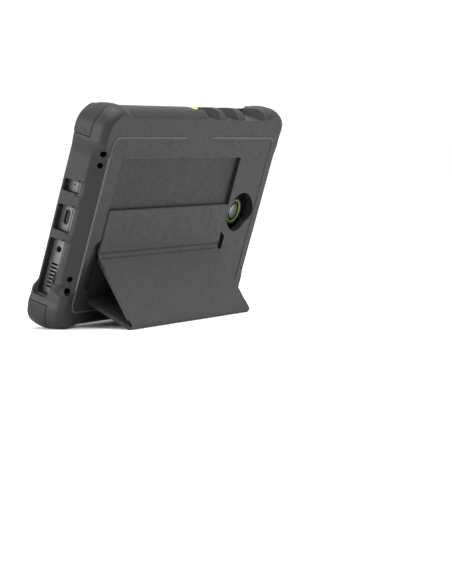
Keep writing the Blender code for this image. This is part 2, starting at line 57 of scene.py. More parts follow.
# How far each of the stand's panels is turned from the one before.
STRUT_TURN, LEG_TURN, FLAP_TURN = (math.radians(a) for a in (-99.19935, 146.8, -47.61066))
STRUT_HINGE = (-2.05, -52.9)  # (y, z) in the case's frame
STRUT_LENGTH, LEG_LENGTH = 37.52, 49.03
NOSE = 2.55  # the radius of the strut's round far edge
SPINE_RISE = 2.7  # how far the flap's hinge stands off the leg's lined face
LEG_RUN = math.sqrt(LEG_LENGTH**2 - SPINE_RISE**2)


def frame_at(place, turn):
    return Matrix.Translation(Vector(place)) @ Matrix.Rotation(turn, 4, "X")


CASE = frame_at((0, 0.012775, 0.069087), LEAN) @ Matrix.Diagonal((MM, MM, MM, 1))
STRUT = CASE @ frame_at((0, *STRUT_HINGE), STRUT_TURN)
LEG = STRUT @ frame_at((0, 0, STRUT_LENGTH), LEG_TURN)
FLAP = LEG @ frame_at((0, SPINE_RISE, LEG_RUN), FLAP_TURN)
TABLET = CASE @ Matrix.Translation((0, -1.5, 0))

# ------------ materials


class Nodes:
    """A material's node tree, with short calls to add to it."""

    def __init__(self, name):
        self.material = bpy.data.materials.new(name)
        self.material.use_nodes = True
        self.tree = self.material.node_tree
        self.shader = self.tree.nodes["Principled BSDF"]
        self.coordinates = self.tree.nodes.new("ShaderNodeTexCoord").outputs["Object"]

    def add(self, kind, inputs=None, **settings):
        node = self.tree.nodes.new("ShaderNode" + kind)
        for key, value in settings.items():
            setattr(node, key, value)
        for key, value in (inputs or {}).items():
            self.set(node.inputs[key], value)
        return node

    def set(self, socket, value):
        if isinstance(value, bpy.types.NodeSocket):
            self.tree.links.new(value, socket)
        else:
            socket.default_value = value

    def noise(self, scale, detail=3.0, roughness=0.5, stretch=None):
        vector = self.coordinates
        if stretch:
            vector = self.add("Mapping", {"Vector": vector, "Scale": stretch}).outputs["Vector"]
        inputs = {"Vector": vector, "Scale": scale, "Detail": detail, "Roughness": roughness}
        return self.add("TexNoise", inputs).outputs["Fac"]

    def spread(self, value, low, high):
        """A value near 0.5, spread between low and high."""
        inputs = {"Value": value, "From Min": 0.3, "From Max": 0.7, "To Min": low, "To Max": high}
        return self.add("MapRange", inputs).outputs["Result"]

    def tint(self, colour, factor, low, high):
        """colour made darker and lighter, between low and high times itself."""
        dark, light = ([c * k for c in colour] + [1.0] for k in (low, high))
        mix = self.tree.nodes.new("ShaderNodeMix")
        mix.data_type = "RGBA"
        # The node has a set of sockets for each kind of data, so the colour ones are picked by their place.
        for place, value in ((0, factor), (6, dark), (7, light)):
            self.set(mix.inputs[place], value)
        return mix.outputs[2]

    def bump(self, height, strength, distance, normal=None):
        inputs = {"Height": height, "Strength": strength, "Distance": distance}
        if normal:
            inputs["Normal"] = normal
        return self.add("Bump", inputs).outputs["Normal"]

    def finish(self, **sockets):
        for key, value in sockets.items():
            self.set(self.shader.inputs[key.replace("_", " ")], value)
        return self.material


def rubber(name, colour, roughness=0.5, grain=1.0):
    """Moulded rubber: a fine spark-eroded grain, faint flow marks and uneven polish."""
    n = Nodes(name)
    broad, fine = n.noise(28.0, 4.0), n.noise(3600.0, 2.0, 0.6)
    spots = n.noise(420.0, 3.0)
    base = n.tint(colour, n.spread(broad, 0.0, 1.0), 0.93, 1.07)
    grainy = n.bump(fine, 0.16 * grain, 0.00012)
    soft = n.bump(broad, 0.05, 0.0008, grainy)
    return n.finish(
        Base_Color=base,
        Roughness=n.spread(spots, roughness - 0.05, roughness + 0.06),
        Normal=soft,
        Specular_IOR_Level=0.24,
    )


def leatherette(name, colour):
    """Coated cloth: small pebbled cells over a faint weave, with a low sheen."""
    n = Nodes(name)
    voronoi = n.add("TexVoronoi", {"Vector": n.coordinates, "Scale": 1500.0, "Randomness": 0.9})
    cells = voronoi.outputs["Distance"]
    fine = n.noise(2600.0, 3.0, 0.6)
    broad = n.noise(34.0, 4.0)
    base = n.tint(colour, n.spread(broad, 0.0, 1.0), 0.94, 1.06)
    pebbled = n.bump(cells, 0.22, 0.0001)
    return n.finish(
        Base_Color=base,
        Roughness=n.spread(n.noise(260.0), 0.56, 0.68),
        Normal=n.bump(fine, 0.1, 0.0001, pebbled),
        Specular_IOR_Level=0.24,
        Sheen_Weight=0.06,
    )


def plastic(name, colour, roughness=0.42, grain=0.1):
    """Injection-moulded plastic with a fine texture."""
    n = Nodes(name)
    fine = n.noise(4200.0, 2.0)
    base = n.tint(colour, n.spread(n.noise(60.0), 0.0, 1.0), 0.95, 1.05)
    return n.finish(
        Base_Color=base,
        Roughness=n.spread(n.noise(300.0), roughness - 0.04, roughness + 0.05),
        Normal=n.bump(fine, grain, 0.0001),
    )


def metal(name, colour, roughness=0.3):
    n = Nodes(name)
    streaks = n.noise(900.0, 3.0, 0.5, (1.0, 12.0, 12.0))
    return n.finish(
        Base_Color=n.tint(colour, n.spread(streaks, 0.0, 1.0), 0.9, 1.05),
        Roughness=n.spread(streaks, roughness - 0.06, roughness + 0.08),
        Metallic=1.0,
    )


def gloss(name, colour, roughness=0.05, coat=0.6):
    """Printed glass: a near black back under a clear, faintly smeared front."""
    n = Nodes(name)
    smears = n.noise(45.0, 5.0)
    return n.finish(
        Base_Color=n.tint(colour, n.spread(n.noise(22.0), 0.0, 1.0), 0.9, 1.1),
        Roughness=n.spread(smears, roughness, roughness + 0.05),
        Coat_Weight=coat,
        Coat_Roughness=0.03,
    )


def board(name):
    """A circuit board: green mask over darker and lighter copper areas."""
    n = Nodes(name)
    brick = n.add("TexBrick", {"Vector": n.coordinates, "Scale": 60.0, "Mortar Size": 0.03})
    n.set(brick.inputs["Color1"], (0.012, 0.09, 0.045, 1))
    n.set(brick.inputs["Color2"], (0.016, 0.12, 0.06, 1))
    n.set(brick.inputs["Mortar"], (0.05, 0.2, 0.09, 1))
    return n.finish(Base_Color=brick.outputs["Color"], Roughness=n.spread(n.noise(200.0), 0.4, 0.55))


MATERIALS = {
    "case": rubber("case_rubber_look", (0.0126, 0.013, 0.014)),
    # ridge: the lighter colour is a painted highlight along the raised line.
    "ridge": rubber("ridge_painted_highlight_look", (0.05, 0.051, 0.053), 0.36, 0.4),
    # facing: a darker copy of the case rubber over the recess floor, painted shade.
    "facing": rubber("recess_painted_shade_look", (0.0072, 0.0075, 0.0084), 0.52, 0.5),
    "bumper": rubber("bumper_look", (0.0113, 0.0117, 0.0123), 0.54, 1.4),
    "leatherette": leatherette("leatherette_look", (0.0215, 0.0228, 0.0222)),
    # flap: a darker copy of the leatherette, painted shade.
    "flap": leatherette("flap_painted_shade_look", (0.0186, 0.0197, 0.0192)),
    # lining: black cloth, made darker still as painted shade on the stand's shaded faces.
    "lining": leatherette("lining_and_painted_shade_look", (0.006, 0.0063, 0.0066)),
    "tablet": plastic("tablet_look", (0.062, 0.063, 0.067)),
    "keys": plastic("key_look", (0.018, 0.0185, 0.02), 0.38),
    "accent": plastic("accent_look", (0.52, 0.66, 0.06), 0.36),
    "rim": plastic("rim_look", (0.02, 0.022, 0.02), 0.36, 0.04),
    "ring": plastic("ring_look", (0.1, 0.115, 0.09), 0.3, 0.04),
    "throat": plastic("throat_look", (0.36, 0.46, 0.09), 0.25, 0.04),
    "black": plastic("black_look", (0.012, 0.012, 0.013), 0.5),
    "glass": gloss("glass_look", (0.004, 0.004, 0.005), 0.06, 0.15),
    "display": gloss("display_look", (0.002, 0.0022, 0.003), 0.03, 0.0),
    # lens: the light grey base colour is a painted reflection in the dark glass.
    "lens": gloss("lens_painted_reflection_look", (0.18, 0.185, 0.19), 0.03, 1.0),
    "flash": gloss("flash_look", (0.55, 0.52, 0.4), 0.1),
    "steel": metal("steel_look", (0.6, 0.6, 0.61)),
    "pad": rubber("pad_look", (0.35, 0.66, 0.93), 0.5, 0.5),
    "liner": plastic("liner_look", (0.17, 0.17, 0.175), 0.6),
    "plate": plastic("plate_look", (0.1, 0.1, 0.107), 0.6),
    "label": plastic("label_look", (0.34, 0.34, 0.35), 0.5),
    "board": board("board_look"),
    "battery": plastic("battery_look", (0.03, 0.03, 0.034), 0.4),
}

# ------------ outlines


def closed_curve(points, count):
    """count points evenly spaced on a smooth closed curve through the given ones."""
    size = len(points)
    knots = [Vector((*p, 0)) for p in points]

    def tangent(i):
        return (knots[(i + 1) % size] - knots[(i - 1) % size]).normalized()

    dense = []
    for i in range(size):
        a, b = knots[i], knots[(i + 1) % size]
        reach = (b - a).length / 3
        dense += interpolate_bezier(a, a + tangent(i) * reach, b - tangent(i + 1) * reach, b, 24)[:-1]
    dense.append(knots[0])
    return even_points(dense, count, closed=True)


def even_points(dense, count, closed=False):
    """count points evenly spaced along a dense polyline."""
    lengths = [0.0]
    for a, b in zip(dense, dense[1:]):
        lengths.append(lengths[-1] + (b - a).length)
    picked, k = [], 0
    for i in range(count):
        target = lengths[-1] * i / (count if closed else count - 1)
        while k < len(lengths) - 2 and lengths[k + 1] < target:
            k += 1
        run = lengths[k + 1] - lengths[k]
        picked.append(dense[k].lerp(dense[k + 1], (target - lengths[k]) / run if run else 0.0))
    return [tuple(p)[:2] for p in picked]


def round_corners(corners, steps=5):
    """The closed outline through (u, v, radius) corners, each rounded by its radius."""
    points, size = [], len(corners)
    for i, (u, v, radius) in enumerate(corners):
        here = Vector((u, v))
        before = Vector(corners[i - 1][:2]) - here
        after = Vector(corners[(i + 1) % size][:2]) - here
        half = before.angle(after) / 2
        back = min(radius / math.tan(half), before.length * 0.49, after.length * 0.49)
        start, end = here + before.normalized() * back, here + after.normalized() * back
        for k in range(steps + 1):
            t = k / steps
            points.append(tuple(start * (1 - t) ** 2 + here * 2 * t * (1 - t) + end * t * t))
    return points


def circle(radius, centre=(0.0, 0.0), steps=40):
    turns = [2 * math.pi * k / steps for k in range(steps)]
    return [(centre[0] + radius * math.cos(a), centre[1] + radius * math.sin(a)) for a in turns]


def rectangle(half_u, half_v, radius, centre=(0.0, 0.0), steps=8):
    """A rectangle with true round corners."""
    points = []
    for corner, (su, sv) in enumerate(((1, 1), (-1, 1), (-1, -1), (1, -1))):
        for step in range(steps + 1):
            angle = math.radians(90 * (corner + step / steps))
            u = su * (half_u - radius) + radius * math.cos(angle)
            v = sv * (half_v - radius) + radius * math.sin(angle)
            points.append((centre[0] + u, centre[1] + v))
    return points


def turned_one_way(outline):
    area = sum(a[0] * b[1] - b[0] * a[1] for a, b in zip(outline, outline[1:] + outline[:1]))
    return list(outline) if area > 0 else list(outline)[::-1]


def grown(outline, amount):
    """A counter-clockwise outline with each point moved outwards by an amount."""
    size, result = len(outline), []
    for i in range(size):
        a, b = Vector(outline[i - 1]), Vector(outline[(i + 1) % size])
        along = (b - a).normalized()
        result.append((outline[i][0] + along.y * amount, outline[i][1] - along.x * amount))
    return result


# ------------ meshes


def loft(rings):
    """A closed bmesh through rings of points, each with the same number of them."""
    mesh = bmesh.new()
    loops = [[mesh.verts.new(point) for point in ring] for ring in rings]
    count = len(loops[0])
    for lower, upper in zip(loops, loops[1:]):
        for i in range(count):
            j = (i + 1) % count
            mesh.faces.new((lower[i], lower[j], upper[j], upper[i]))
    mesh.faces.new(loops[0][::-1])
    mesh.faces.new(loops[-1])
    if mesh.calc_volume(signed=True) < 0:
        bmesh.ops.reverse_faces(mesh, faces=mesh.faces)
    return mesh


def through_y(outline, levels):
    """An (x, z) outline through (y, growth) levels."""
    outline = turned_one_way(outline)
    return loft([[(x, y, z) for x, z in grown(outline, grow)] for y, grow in levels])


# The port end's face leans by END_SLOPE across y, about LEVEL_Y. Cuts reach it beyond WALL_X.
WALL_X, LEVEL_Y, END_SLOPE = 110, -16.5, 0.0744


def through_x(outline, levels, slope=0.0):
    """A (y, z) outline through (x, growth) levels, those beyond the wall leaning by slope across y."""
    outline = turned_one_way(outline)
    rings = []
    for x, grow in levels:
        lean = slope if x > WALL_X else 0.0
        rings.append([(x + lean * (LEVEL_Y - y), y, z) for y, z in grown(outline, grow)])
    return loft(rings)


def joined(meshes):
    whole = bmesh.new()
    for part in meshes:
        data = bpy.data.meshes.new("part")
        part.to_mesh(data)
        part.free()
        whole.from_mesh(data)
        bpy.data.meshes.remove(data)
    return whole


def turned(profile, steps=48):
    """A solid turned about the y axis from a closed outline of (radius, y) points."""
    rings = []
    for k in range(steps):
        a = 2 * math.pi * k / steps
        rings.append([(r * math.cos(a), y, r * math.sin(a)) for r, y in profile])
    mesh = bmesh.new()
    loops = [[mesh.verts.new(p) for p in ring] for ring in rings]
    size = len(profile)
    for i in range(steps):
        a, b = loops[i], loops[(i + 1) % steps]
        for k in range(size):
            j = (k + 1) % size
            if profile[k][0] or profile[j][0]:
                mesh.faces.new((a[k], b[k], b[j], a[j]))
    bmesh.ops.remove_doubles(mesh, verts=mesh.verts, dist=1e-5)
    bmesh.ops.dissolve_degenerate(mesh, edges=mesh.edges, dist=1e-6)
    if mesh.calc_volume(signed=True) < 0:
        bmesh.ops.reverse_faces(mesh, faces=mesh.faces)
    return mesh


def moved(mesh, place):
    bmesh.ops.translate(mesh, vec=Vector(place), verts=mesh.verts)
    return mesh


def to_object(name, mesh):
    data = bpy.data.meshes.new(name)
    mesh.to_mesh(data)
    mesh.free()
    made = bpy.data.objects.new(name, data)
    bpy.context.scene.collection.objects.link(made)
    return made


def bake_modifiers(obj):
    """Replaces an object's mesh by what its modifiers make of it."""
    graph = bpy.context.evaluated_depsgraph_get()
    old = obj.data
    obj.data = bpy.data.meshes.new_from_object(obj.evaluated_get(graph))
    obj.modifiers.clear()
    bpy.data.meshes.remove(old)


def mend(obj):
    """Welds the slivers that cuts leave and closes the pinholes between them."""
    mesh = bmesh.new()
    mesh.from_mesh(obj.data)
    bmesh.ops.remove_doubles(mesh, verts=mesh.verts, dist=0.002)
    bmesh.ops.dissolve_degenerate(mesh, edges=mesh.edges, dist=0.002)
    open_edges = [edge for edge in mesh.edges if len(edge.link_faces) == 1]
    bmesh.ops.holes_fill(mesh, edges=open_edges, sides=8)
    mesh.to_mesh(obj.data)
    mesh.free()


def carve(obj, cutters):
    """Cuts bmeshes out of an object."""
    helpers = []
    for index, mesh in enumerate(cutters):
        helper = to_object(f"cutter_{index}", mesh)
        modifier = obj.modifiers.new("cut", "BOOLEAN")
        modifier.operation = "DIFFERENCE"
        modifier.solver = "EXACT"
        modifier.object = helper
        helpers.append(helper)
    bake_modifiers(obj)
    mend(obj)
    for helper in helpers:
        data = helper.data
        bpy.data.objects.remove(helper)
        bpy.data.meshes.remove(data)


def round_edges(obj, width, segments=3, angle=40):
    bevel = obj.modifiers.new("round", "BEVEL")
    bevel.width = width
    bevel.segments = segments
    bevel.limit_method = "ANGLE"
    bevel.angle_limit = math.radians(angle)
    bake_modifiers(obj)


def show(obj, material, body, matrix=CASE, replaces=(), sharp=34):
    """Puts a finished piece in the shared frame, on its body."""
    obj.data.transform(matrix)
    obj.data.materials.clear()
    obj.data.materials.append(MATERIALS[material])
    obj.data.shade_smooth()
    obj.data.set_sharp_from_angle(angle=math.radians(sharp))
    weighted = obj.modifiers.new("flat faces lead", "WEIGHTED_NORMAL")
    weighted.keep_sharp = True
    weighted.weight = 90
    bake_modifiers(obj)
    if body:
        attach(obj, body)
    if replaces:
        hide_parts(*replaces)
    return obj


# ------------ the case

HALF_X, HALF_Z, CORNER = 113.5, 70.6, 14.0
PROFILE_STEPS = 44
# (y, distance out from the plan's outline), from the front to the back.
END_PROFILE = (
    (-25.5, -8.0), (-25.5, -3.0), (-25.5, -1.5), (-25.25, -0.5), (-24.7, 0.3), (-23.9, 0.75),
    (-22.3, 0.78), (-17.0, 0.38), (-11.4, -0.02), (-9.8, -0.12), (-8.8, -0.42), (-8.0, -0.95),
    (-5.4, -3.1), (-2.6, -5.35), (-1.2, -6.45), (-0.5, -6.95), (-0.12, -7.35), (0.0, -7.9),
)
CAMERA_END_PROFILE = (
    (-25.5, -8.0), (-25.5, -3.0), (-25.5, -1.5), (-25.25, -0.5), (-24.7, 0.4), (-23.9, 1.0),
    (-22.3, 1.4), (-17.0, 1.6), (-11.4, 1.75), (-8.0, 1.85), (-5.4, 1.85), (-3.2, 1.75), (-1.9, 1.5),
    (-1.1, 1.1), (-0.55, 0.6), (-0.2, 0.0), (-0.04, -0.7), (0.0, -1.8),
)
LONG_PROFILE = (
    (-25.5, -8.0), (-25.5, -4.2), (-25.5, -3.3), (-25.3, -2.6), (-24.7, -1.9), (-23.9, -1.4),
    (-20.5, -0.45), (-17.0, 0.7), (-13.5, 1.75), (-11.0, 2.25), (-8.8, 2.3), (-6.6, 2.05),
    (-4.6, 1.4), (-3.2, 0.5), (-2.0, -0.5), (-1.0, -1.5), (-0.35, -2.3), (0.0, -3.3),
)
CORNER_PROFILE = (
    (-25.5, -8.0), (-26.0, -2.5), (-26.2, -0.6), (-26.1, 0.6), (-25.6, 1.7), (-24.7, 2.6),
    (-23.5, 2.95), (-18.0, 3.0), (-12.0, 3.0), (-8.0, 3.0), (-5.4, 2.98), (-4.2, 2.85), (-3.0, 2.45),
    (-2.0, 1.9), (-1.1, 1.1), (-0.5, 0.35), (-0.12, -0.3), (0.0, -0.9),
)
# The upper corners' bulge slopes back with the long side, where it faces up.
CORNER_TOP_PROFILE = (
    (-25.5, -8.0), (-25.9, -3.6), (-25.9, -2.2), (-25.6, -1.1), (-25.0, -0.3), (-24.1, 0.35),
    (-22.0, 1.1), (-17.5, 2.15), (-13.0, 2.9), (-9.5, 3.05), (-7.0, 2.95), (-5.4, 2.6), (-4.2, 2.2),
    (-3.0, 1.6), (-2.0, 1.0), (-1.1, 0.3), (-0.5, -0.2), (0.0, -1.2),
)
# The lower corners' bulge is deepest towards the front, where it faces down and the case rests on it.
CORNER_BOTTOM_PROFILE = (
    (-25.5, -8.0), (-26.2, -2.5), (-26.6, -0.4), (-26.5, 1.4), (-25.9, 3.0), (-24.7, 4.2),
    (-22.8, 4.9), (-20.0, 5.45), (-16.5, 5.6), (-13.0, 5.1), (-10.0, 4.3), (-8.0, 3.7), (-5.4, 2.9),
    (-4.2, 2.45), (-3.0, 1.9), (-2.0, 1.3), (-1.0, 0.6), (0.0, -0.9),
)
# At the camera's end the bulge keeps its full width almost to the back.
CORNER_CAMERA_PROFILE = (
    (-25.5, -8.0), (-26.0, -2.5), (-26.2, -0.6), (-26.1, 0.6), (-25.6, 1.7), (-24.7, 2.6),
    (-23.5, 2.95), (-18.0, 3.05), (-12.0, 3.2), (-8.0, 3.4), (-5.4, 3.55), (-3.4, 3.5), (-2.0, 3.2),
    (-1.1, 2.7), (-0.5, 2.0), (-0.15, 1.2), (-0.03, 0.4), (0.0, -0.9),
)
FRONT_SHIFT = {1: 1.1, -1: -1.3}  # how far back the front of the upper and of the lower corners stands
# How far each corner's diagonal stands out from a round one: by (height, end).
SQUARENESS = {(1, 1): -0.8, (1, -1): 2.2, (-1, 1): 2.4, (-1, -1): 1.0}
BULGE_X = (90.0, 98.6)  # the bulge rises between these along the long sides
BULGE_Z = {1: (39.0, 50.0), -1: (44.5, 52.0)}  # and between these up and down the ends
FLAT_INSIDE = -7.0  # points further in than this keep to one plane, so the front is flat inside the lip
BUMPER_BACK = -11.3
BUMPER_X, BUMPER_Z = 97.6, {1: 51.4, -1: 58.8}


def eased(value, low, high):
    t = min(max((value - low) / (high - low), 0.0), 1.0)
    return t * t * (3 - 2 * t)


def profile_points(profile):
    """The profile as evenly spread points, with the same count for each profile."""
    knots = [Vector((y, d, 0)) for y, d in profile]
    dense = []
    for i in range(len(knots) - 1):
        before, after = knots[max(i - 1, 0)], knots[min(i + 2, len(knots) - 1)]
        a, b = knots[i], knots[i + 1]
        reach = (b - a).length / 3
        ta = (b - before).normalized() if i else (b - a).normalized()
        tb = (after - a).normalized()
        dense += interpolate_bezier(a, a + ta * reach, b - tb * reach, b, 10)[:-1]
    dense.append(knots[-1])
    return [Vector(p) for p in even_points(dense, PROFILE_STEPS)]


END, CAMERA_END, LONG = (profile_points(p) for p in (END_PROFILE, CAMERA_END_PROFILE, LONG_PROFILE))
FACING_ENDS = {1: profile_points(CORNER_PROFILE), -1: profile_points(CORNER_CAMERA_PROFILE)}
FACING_AWAY = {1: profile_points(CORNER_TOP_PROFILE), -1: profile_points(CORNER_BOTTOM_PROFILE)}


def quarter_stations():
    """Stations round a quarter of the outline, from the middle of the top to the middle of the end.

    Each is (x, z, normal, on the long side), with None in the last place on the corner's arc.
    """
    stations = []
    long_places = [0, 12, 24, 36, 48, 60, 70, 78, 84, 87] + [88 + 0.8 * k for k in range(13)] + [98.6]
    for x in long_places:
        stations.append((x, HALF_Z, (0.0, 1.0), True))
    for k in range(19):
        a = math.radians(90 * (1 - k / 18))
        x = HALF_X - CORNER + CORNER * math.cos(a)
        z = HALF_Z - CORNER + CORNER * math.sin(a)
        stations.append((x, z, (math.cos(a), math.sin(a)), None))
    end_places = [55.8, 55, 54.2, 53.4, 52.6, 51.8, 51, 50]
    end_places += [*range(49, 37, -1), 36, 34, 28, 20, 12, 6, 0]
    for z in end_places:
        stations.append((HALF_X, z, (1.0, 0.0), False))
    return stations


def corner_points(normal, height, sign_x):
    """The bulge's profile where the outline faces along normal, in the quarter that the two signs name."""
    share = eased(normal[1], 0.35, 0.95)
    diagonal = SQUARENESS[height, sign_x] * 2 * normal[0] * normal[1]
    points = []
    for side, away in zip(FACING_ENDS[sign_x], FACING_AWAY[height]):
        y, out = side.lerp(away, share)
        y += FRONT_SHIFT[height] * (eased(-y, 17.0, 25.0) * eased(out, FLAT_INSIDE, -3.0))
        points.append(Vector((y, out + diagonal * eased(out, FLAT_INSIDE, -2.0))))
    return points


def placed(station, height, sign_x, y, out):
    """The point that stands out from the outline at a station, in the quarter that the two signs name."""
    x, z, normal, _ = station
    return ((x + normal[0] * out) * sign_x, y, (z + normal[1] * out) * height)


def section(station, height, sign_x):
    """The (x, y, z) points of the case's skin at a station, in the quarter that the two signs name."""
    x, z, normal, on_long = station
    cornered = corner_points(normal, height, sign_x)
    if on_long is None:
        bulge, side = 1.0, cornered
    elif on_long:
        bulge, side = eased(x, *BULGE_X), LONG
    else:
        bulge, side = eased(z, *BULGE_Z[height]), END if sign_x > 0 else CAMERA_END
    points = []
    for flat, full in zip(side, cornered):
        y, out = flat.lerp(full, bulge)
        points.append(placed(station, height, sign_x, y, out))
    return points


def all_sections():
    """Every section, all the way round."""
    quarter = quarter_stations()

    def part(height, sign_x):
        return [section(s, height, sign_x) for s in quarter]

    return part(1, 1) + part(-1, 1)[::-1][1:] + part(-1, -1)[1:] + part(1, -1)[::-1][1:-1]


def case_skin():
    sections = all_sections()
    return loft([[points[k] for points in sections] for k in range(PROFILE_STEPS)])


RECESS_FLOOR = -2.2
LENS_PLACE = (-95.5, -3.2)  # (x, z)
RIM = ((0.0, 0.0), (0.55, 0.0), (0.8, 0.06), (0.95, 0.2), (1.05, 0.42), (1.1, 0.75), (1.6, 1.7))


def rim_levels(surface, inside, size=0.6):
    """Levels that cut from inside out to a surface, rounding the opening's edge by size."""
    levels = [(inside, 0.0)]
    for rise, grow in RIM[1:]:
        levels.append((surface + (rise - 1.1) * size * 1.4, grow * size))
    return levels


def recess_cutter():
    low, high, left, right = -53.3, 40.3, -65.2, 91.6
    r = 1.0
    corners = [
        (right, low, r), (right, -47.5, 1.5), (right + 7.5, -44.0, 3.5), (right + 7.5, -17.5, 3.5),
        (right, -13.3, 1.5), (right, high, r), (left, high, r), (left, -14.0, 1.0), (left - 6.4, -17.5, 2.0),
        (left - 6.4, -26.5, 2.0), (left, -30.5, 1.0), (left, low, r),
    ]
    return through_y(round_corners(corners), rim_levels(0.0, RECESS_FLOOR, 0.5))


def camera_cutter():
    knots = (
        (-66.6, -1.6), (-67.6, 3.6), (-70.6, 8.2), (-75.8, 11.8), (-82.3, 13.8), (-89.2, 13.4),
        (-96.8, 9.4), (-102.4, 3.9), (-103.9, -0.8), (-101.6, -4.6), (-95.6, -8.6), (-90.0, -13.2),
        (-83.4, -14.4), (-75.2, -11.4), (-69.6, -6.8),
    )
    outline = closed_curve(knots, 96)
    return through_y(outline, rim_levels(0.0, -13.4, 0.9))


WINDOWS = {  # (y, z, radius) corners of the openings over the tablet's sockets
    "microphone": ((-23.2, 14.0, 1.2), (-23.2, 21.6, 1.2), (-11.7, 21.6, 1.0), (-11.7, 14.0, 1.0)),
    "usb": ((-23.2, -11.6, 1.4), (-23.2, 4.9, 1.4), (-11.5, 4.9, 1.2), (-11.5, -11.6, 1.2)),
    "jack": (
        (-23.3, -53.9, 1.2), (-23.3, -17.6, 1.2), (-12.0, -17.6, 1.2), (-12.0, -31.1, 1.5),
        (-14.9, -42.2, 1.5), (-14.9, -53.9, 1.0),
    ),
}


def window_cutters():
    cutters = []
    for corners in WINDOWS.values():
        outline = round_corners(corners)
        levels = rim_levels(113.85, 105.0, 0.75)
        cutters.append(through_x(outline, [*levels, (122.0, levels[-1][1])], END_SLOPE))
        # The sloping edge behind each opening is scooped out between the opening's ends.
        low, high = min(c[1] for c in corners), max(c[1] for c in corners)
        back = max(c[0] for c in corners)
        low = max(low, -44.0)
        rings = []
        for z, rise in (
            (low - 2.0, 1.4), (low - 1.2, 0.5), (low - 0.5, 0.12), (low + 0.2, 0.0),
            (high - 0.2, 0.0), (high + 0.5, 0.12), (high + 1.2, 0.5), (high + 2.0, 1.4),
        ):
            edge = ((112.7, back - 2.0), (112.7, -9.2), (112.3, -8.1), (110.9, -6.3), (110.0, -4.7))
            ring = [(x + rise, y, z) for x, y in edge]
            rings.append([*ring, (114.6, -4.7, z), (114.6, back - 2.0, z)])
        cutters.append(loft(rings))
    return cutters


STRAP_HOLES = (  # (z, (x, y)) of each mouth
    (43.1, (109.0, -3.7)), (35.4, (109.0, -3.7)), (-40.1, (109.6, -4.4)), (-47.8, (109.6, -4.4)),
)


def strap_hole_cutters():
    """Two pairs of flared holes through the sloping edge of the port end."""
    cutters = []
    along = Vector((-0.76, -0.65, 0.0)).normalized()
    across = Vector((-along.y, along.x, 0.0))
    for z, place in STRAP_HOLES:
        rings = []
        for reach, radius in ((10.5, 1.75), (0.5, 1.75), (0.1, 1.9), (-0.2, 2.15), (-6.0, 2.3)):
            middle = Vector((*place, z)) + along * reach
            round_it = circle(radius, steps=24)
            rings.append([tuple(middle + across * u + Vector((0, 0, v))) for u, v in round_it])
        cutters.append(loft(rings))
    return cutters


# (x, half length of the hole in the tablet's frame, half width of the opening in the case)
SIDE_KEYS = {
    "function_key": (-14.0, 5.9, 7.5),
    "power_key": (-38.9, 5.9, 7.7),
    "volume_rocker": (-72.0, 11.4, 13.8),
}


def arch_height(y):
    """How high the top of the case is at y, leaving out the part of the profile that lies inside the lip."""
    best = min(LONG, key=lambda p: abs(p.x - y) + (10 if p.y < -4 else 0))
    return HALF_Z + best.y


def slot_cutters():
    cutters = []
    profile = [
        (-21.0, 65.5), (-14.3, 65.5), (-14.3, 67.2), (-2.0, 67.4),
        (0.6, 66.9), (2.0, 66.0), (2.0, 80.0), (-21.0, 80.0),
    ]
    ys = [-21.6 + 22.3 * k / 16 for k in range(17)]
    for x, _, half in SIDE_KEYS.values():
        shaft = loft([[(at, y, z) for y, z in profile] for at in (x - half, x + half)])
        for vert in shaft.verts:
            if vert.co.x < x:  # the wall on this side leans outwards
                vert.co.x -= max(vert.co.z - 66.6, 0.0) * 0.4
        cutters.append(shaft)
        rings = []
        edges = ((x - half - 0.9, -0.25), (x - half, 0.65), (x + half, 0.65), (x + half + 0.9, -0.25))
        for at, drop in edges:
            floor = [(at, y, arch_height(y) - drop) for y in ys]
            rings.append([*floor, (at, ys[-1] + 1, 80.0), (at, ys[0], 80.0)])
        cutters.append(loft(rings))
    # A shallow groove across the top of the corner at the camera's end.
    groove = ((-105.2, 71.6), (-101.4, 72.0), (-101.0, 76.0), (-106.0, 76.0))
    cutters.append(loft([[(u, y, w) for u, w in groove] for y in (-21.0, -10.5)]))
    # A finger's relief beside the first slot, so that its key is seen from the side.
    x, _, half = SIDE_KEYS["function_key"]
    side = x + half
    outline = [(side - 1.0, 68.4), (side + 1.0, 68.7), (side + 12.0, 72.9), (side - 1.0, 77.0)]
    cutters.append(loft([[(u, y, w) for u, w in outline] for y in (-21.0, -14.0, -6.0)]))
    return cutters


def bumper_sections(height, trim=0.0):
    """Sections of the case's skin between the two ends of a corner's bumper."""
    end, arc_from = BUMPER_Z[height] + trim, HALF_Z - CORNER
    picked = []
    for station in quarter_stations():
        x, z, _, on_long = station
        if on_long and x < BUMPER_X + trim + 0.3:
            continue
        if not on_long and z < end + 0.3:
            continue
        picked.append(station)
    # The first and last stations stand exactly on the bumper's ends.
    angle = math.asin(max(end - arc_from, 0.0) / CORNER)
    last = (HALF_X - CORNER + CORNER * math.cos(angle), end, (math.cos(angle), math.sin(angle)), None)
    if end <= arc_from:
        last = (HALF_X, end, (1.0, 0.0), False)
    return [(BUMPER_X + trim, HALF_Z, (0.0, 1.0), True), *picked, last]


def bumper(height, sign_x):
    """The moulded-on bumper: the skin's front part, thickened inwards."""
    rings = []
    facing = enumerate(FACING_ENDS[sign_x])
    kept = [k for k, point in facing if point.x < BUMPER_BACK - 0.6 and point.y > 0.45]
    for station in bumper_sections(height, 0.45):
        points = corner_points(station[2], height, sign_x)
        skin = [tuple(points[k])[:2] for k in kept]
        back = BUMPER_BACK - 0.4
        outline = [(-26.0, min(0.35, skin[0][1] - 0.3)), *skin, (back, skin[-1][1] - 0.15), (back, 0.35)]
        rings.append([placed(station, height, sign_x, y, out) for y, out in outline])
    return loft(rings)


def bumper_seat(height, sign_x):
    rings = []
    for station in bumper_sections(height):
        outline = [(-30.0, 9.0), (BUMPER_BACK, 9.0), (BUMPER_BACK, -0.05), (-30.0, -0.05)]
        rings.append([placed(station, height, sign_x, y, out) for y, out in outline])
    return loft(rings)


